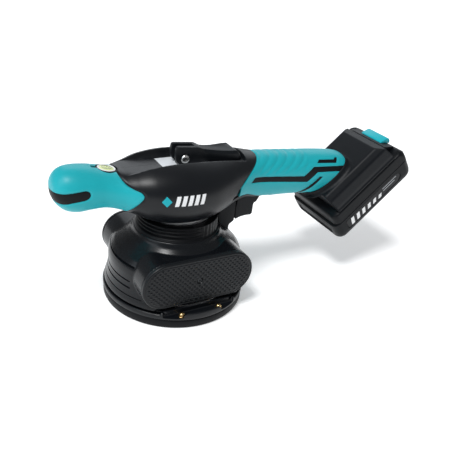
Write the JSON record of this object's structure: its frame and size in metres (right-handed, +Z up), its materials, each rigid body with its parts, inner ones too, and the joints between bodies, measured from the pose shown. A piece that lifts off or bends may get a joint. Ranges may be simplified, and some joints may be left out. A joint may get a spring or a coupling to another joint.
{
  "type": "suction tile vibrator",
  "caption": "Cordless tile-laying vibrator: round suction-cup base with side pods, cam lever, front grip with level, rear handle with trigger and slide-on battery.",
  "frame": {"origin": "centre of the suction cup's lower face, on the surface that the tool stands on", "axes": "+Z up along the draw rod, +X along the rear handle towards the battery, +Y across the tool"},
  "size_m": [0.3344, 0.124, 0.1374],
  "materials": {
    "black_plastic": "satin moulded",
    "teal_grip": "soft-touch overmould",
    "teal_plastic": "satin moulded",
    "red_plastic": "satin moulded",
    "cup_rubber": "smooth rubber",
    "cover_rubber": "moulded rubber",
    "steel": "machined",
    "aluminium": "machined",
    "iron": "machined",
    "windings": "lacquered",
    "brass": "polished",
    "cam_plate": "satin",
    "clear_vial": "clear",
    "level_fluid": "clear liquid",
    "cell_wrap": "plastic sleeve",
    "circuit_board": "solder mask",
    "badge": "gloss label"
  },
  "bodies": {
    "root": {"suction_cup": "cup_rubber", "base_plate": "steel", "base_ring": "black_plastic", "ring_screws": "brass", "lower_housing": "black_plastic", "pod_cover_left": "cover_rubber", "pod_cover_right": "cover_rubber", "pod_screws": "steel", "motor_can_front": "steel", "motor_can_rear": "steel", "motor_end_caps": "steel", "motor_bearings": "steel", "neck_bellows": "cover_rubber", "neck_plate": "aluminium", "isolator_buffers": "cover_rubber", "cable_boot": "cover_rubber", "rod_bush": "brass", "rod_spring": "steel", "cam_plate": "cam_plate", "housing_left": "black_plastic", "housing_right": "black_plastic", "housing_screws": "steel", "front_grip": "teal_grip", "grip_inlay": "black_plastic", "level_bezel": "black_plastic", "level_vial": "clear_vial", "level_fluid": "level_fluid", "rear_grip": "teal_grip", "grip_stripes": "black_plastic", "trigger_pin": "steel", "trigger_switch": "black_plastic", "switch_plunger": "red_plastic", "control_board": "circuit_board", "battery_dock": "black_plastic", "terminal_block": "black_plastic", "dock_contacts": "brass"},
    "rod": {"cup_diaphragm": "cup_rubber", "diaphragm_plate": "steel", "draw_rod": "steel", "rod_collar": "steel", "lever_pin": "steel"},
    "lever": {"cam_lever": "black_plastic"},
    "rotor_front": {"rotor_shaft_front": "steel", "rotor_core_front": "windings", "rotor_weights_front": "iron"},
    "rotor_rear": {"rotor_shaft_rear": "steel", "rotor_core_rear": "windings", "rotor_weights_rear": "iron"},
    "trigger": {"trigger": "black_plastic"},
    "battery": {"battery_top": "black_plastic", "battery_base": "black_plastic", "battery_cells": "cell_wrap", "cell_straps": "steel", "battery_board": "circuit_board", "battery_badge": "badge"},
    "release": {"release_button": "teal_plastic"}
  },
  "joints": [
    {"name": "lever_hinge", "type": "hinge", "parent": "rod", "child": "lever", "pos_m": [0, 0, 0.127], "axis": [0, -1, 0], "range_deg": [0, 90]},
    {"name": "rod_slide", "type": "slide", "parent": "root", "child": "rod", "axis": [0, 0, 1], "range_m": [0, 0.003], "deforming": ["rod_spring"]},
    {"name": "front_motor_spin", "type": "hinge", "parent": "root", "child": "rotor_front", "pos_m": [-0.028, 0, 0.0373], "axis": [0, 1, 0], "continuous": true},
    {"name": "rear_motor_spin", "type": "hinge", "parent": "root", "child": "rotor_rear", "pos_m": [0.028, 0, 0.0373], "axis": [0, 1, 0], "continuous": true},
    {"name": "trigger_swing", "type": "hinge", "parent": "root", "child": "trigger", "pos_m": [0.06, 0, 0.092], "axis": [0, -1, 0], "range_deg": [0, 7], "stiffness_Nm_per_rad": 0.5, "springref_deg": -11.46},
    {"name": "battery_slide", "type": "slide", "parent": "root", "child": "battery", "axis": [0.7455, 0, 0.6665], "range_m": [0, 0.09]},
    {"name": "release_press", "type": "slide", "parent": "battery", "child": "release", "axis": [0.0663, 0, -0.9978], "range_m": [0, 0.0018], "stiffness_N_per_m": 900, "springref_m": -0.001}
  ],
  "couplings": [
    {"joint": "lever_hinge", "follows": "rod_slide", "rad_per_m": 523.6}
  ]
}
